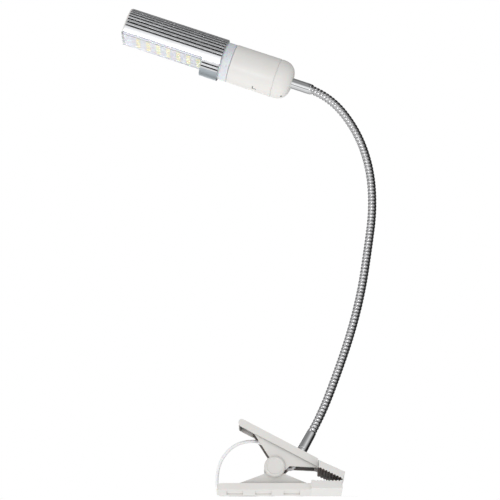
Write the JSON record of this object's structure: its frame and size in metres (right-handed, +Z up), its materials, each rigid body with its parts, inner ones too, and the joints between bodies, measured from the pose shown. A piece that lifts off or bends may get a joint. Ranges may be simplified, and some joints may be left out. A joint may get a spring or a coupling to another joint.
{
  "type": "clip-on reading lamp",
  "caption": "Clip-on reading lamp: sprung clip with rubber-booted jaws, bendable metal neck, plastic lamp holder and a screw-in finned LED lamp that swivels, with cord and plug.",
  "frame": {"origin": "centre of the clip's flat underside", "axes": "+Z up, +X towards the jaws, the clip's pivot runs along Y, the lamp head reaches towards -X"},
  "size_m": [0.2577, 0.1226, 0.499],
  "materials": {
    "white_plastic": "satin moulded ABS, warm white",
    "white_rubber": "matt moulded rubber, warm white",
    "chrome": "bright plated",
    "neck_steel": "wound bright steel strip",
    "spring_steel": "zinc plated wire",
    "zinc_steel": "zinc plated",
    "aluminium": "extruded and satin anodised",
    "frosted_plastic": "milky translucent polycarbonate",
    "clear_cover": "clear polycarbonate, lightly frosted rim",
    "led_yellow": "phosphor gel in a white frame",
    "board_white": "white solder mask",
    "board_green": "green solder mask with parts",
    "brass": "plain",
    "lamp_cap_metal": "rolled thread, bright",
    "black_insulator": "black glass-like insulator",
    "insert_ceramic": "white moulded insert",
    "cord_white": "soft PVC sheath, satin"
  },
  "bodies": {
    "base": {"base_jaw": "white_plastic", "lower_jaw_pad": "white_rubber", "cord_tube": "cord_white", "cord_tail": "cord_white", "cord_coil": "cord_white", "plug_body": "cord_white", "plug_pins": "brass"},
    "lever": {"upper_lever": "white_plastic", "upper_jaw_pad": "white_rubber", "pivot_pin": "zinc_steel", "pivot_cap_front": "white_plastic", "pivot_cap_back": "white_plastic", "torsion_spring": "spring_steel", "neck_ferrule": "chrome", "neck_washer": "zinc_steel", "neck_lock_nut": "zinc_steel", "neck_shank": "zinc_steel", "cord_relief": "cord_white", "clip_lead": "cord_white", "neck_link_1": "neck_steel", "neck_lead_1": "cord_white"},
    "neck_2": {"neck_link_2": "neck_steel", "neck_lead_2": "cord_white"},
    "neck_3": {"neck_link_3": "neck_steel", "neck_lead_3": "cord_white"},
    "neck_4": {"neck_link_4": "neck_steel", "neck_lead_4": "cord_white"},
    "neck_5": {"neck_link_5": "neck_steel", "neck_lead_5": "cord_white"},
    "neck_6": {"neck_link_6": "neck_steel", "neck_lead_6": "cord_white"},
    "neck_7": {"neck_link_7": "neck_steel", "neck_lead_7": "cord_white"},
    "neck_8": {"neck_link_8": "neck_steel", "neck_lead_8": "cord_white"},
    "head": {"neck_link_9": "neck_steel", "neck_lead_9": "cord_white", "neck_sleeve": "chrome", "holder_cap": "white_plastic", "holder_body": "white_plastic", "contact_insert": "insert_ceramic", "screw_shell": "brass", "centre_tongue": "brass", "terminal_screws": "zinc_steel", "holder_nut": "zinc_steel", "lamp_cap_shell": "lamp_cap_metal", "lamp_cap_insulator": "black_insulator", "lamp_tip_contact": "lamp_cap_metal"},
    "lamp": {"lamp_collar": "frosted_plastic", "heat_sink": "aluminium", "driver_block": "aluminium", "led_board": "board_white", "led_chips": "led_yellow", "led_cover": "clear_cover", "driver_board": "board_green", "end_plate": "white_plastic", "end_plate_screws": "zinc_steel"}
  },
  "joints": [
    {"name": "clip_pivot", "type": "hinge", "parent": "base", "child": "lever", "pos_m": [-0.0048, 0, 0.0238], "axis": [0, -1, 0], "range_deg": [0, 35], "stiffness_Nm_per_rad": 0.9, "springref_deg": -57.3, "deforming": ["torsion_spring", "cord_tube"]},
    {"name": "neck_bend_1", "type": "hinge", "parent": "lever", "child": "neck_2", "pos_m": [0.04934, 0, 0.09884], "axis": [0, -1, 0], "range_deg": [-20, 12]},
    {"name": "neck_bend_2", "type": "hinge", "parent": "neck_2", "child": "neck_3", "pos_m": [0.06409, 0, 0.13971], "axis": [0, -1, 0], "range_deg": [-20, 12]},
    {"name": "neck_sway_3", "type": "hinge", "parent": "neck_3", "child": "neck_4", "pos_m": [0.07651, 0, 0.18134], "axis": [-0.969, 0, 0.247], "range_deg": [-25, 25]},
    {"name": "neck_bend_4", "type": "hinge", "parent": "neck_4", "child": "neck_5", "pos_m": [0.08524, 0, 0.22389], "axis": [0, -1, 0], "range_deg": [-20, 12]},
    {"name": "neck_bend_5", "type": "hinge", "parent": "neck_5", "child": "neck_6", "pos_m": [0.09151, 0, 0.26688], "axis": [0, -1, 0], "range_deg": [-20, 12]},
    {"name": "neck_sway_6", "type": "hinge", "parent": "neck_6", "child": "neck_7", "pos_m": [0.09314, 0, 0.31023], "axis": [-0.9982, 0, -0.0593], "range_deg": [-25, 25]},
    {"name": "neck_bend_7", "type": "hinge", "parent": "neck_7", "child": "neck_8", "pos_m": [0.08458, 0, 0.35269], "axis": [0, -1, 0], "range_deg": [-20, 12]},
    {"name": "neck_bend_8", "type": "hinge", "parent": "neck_8", "child": "head", "pos_m": [0.06368, 0, 0.39055], "axis": [0, -1, 0], "range_deg": [-20, 12]},
    {"name": "lamp_swivel", "type": "hinge", "parent": "head", "child": "lamp", "pos_m": [-0.04695, 0, 0.44137], "axis": [-0.9455, 0, 0.3256], "range_deg": [-90, 90]}
  ]
}
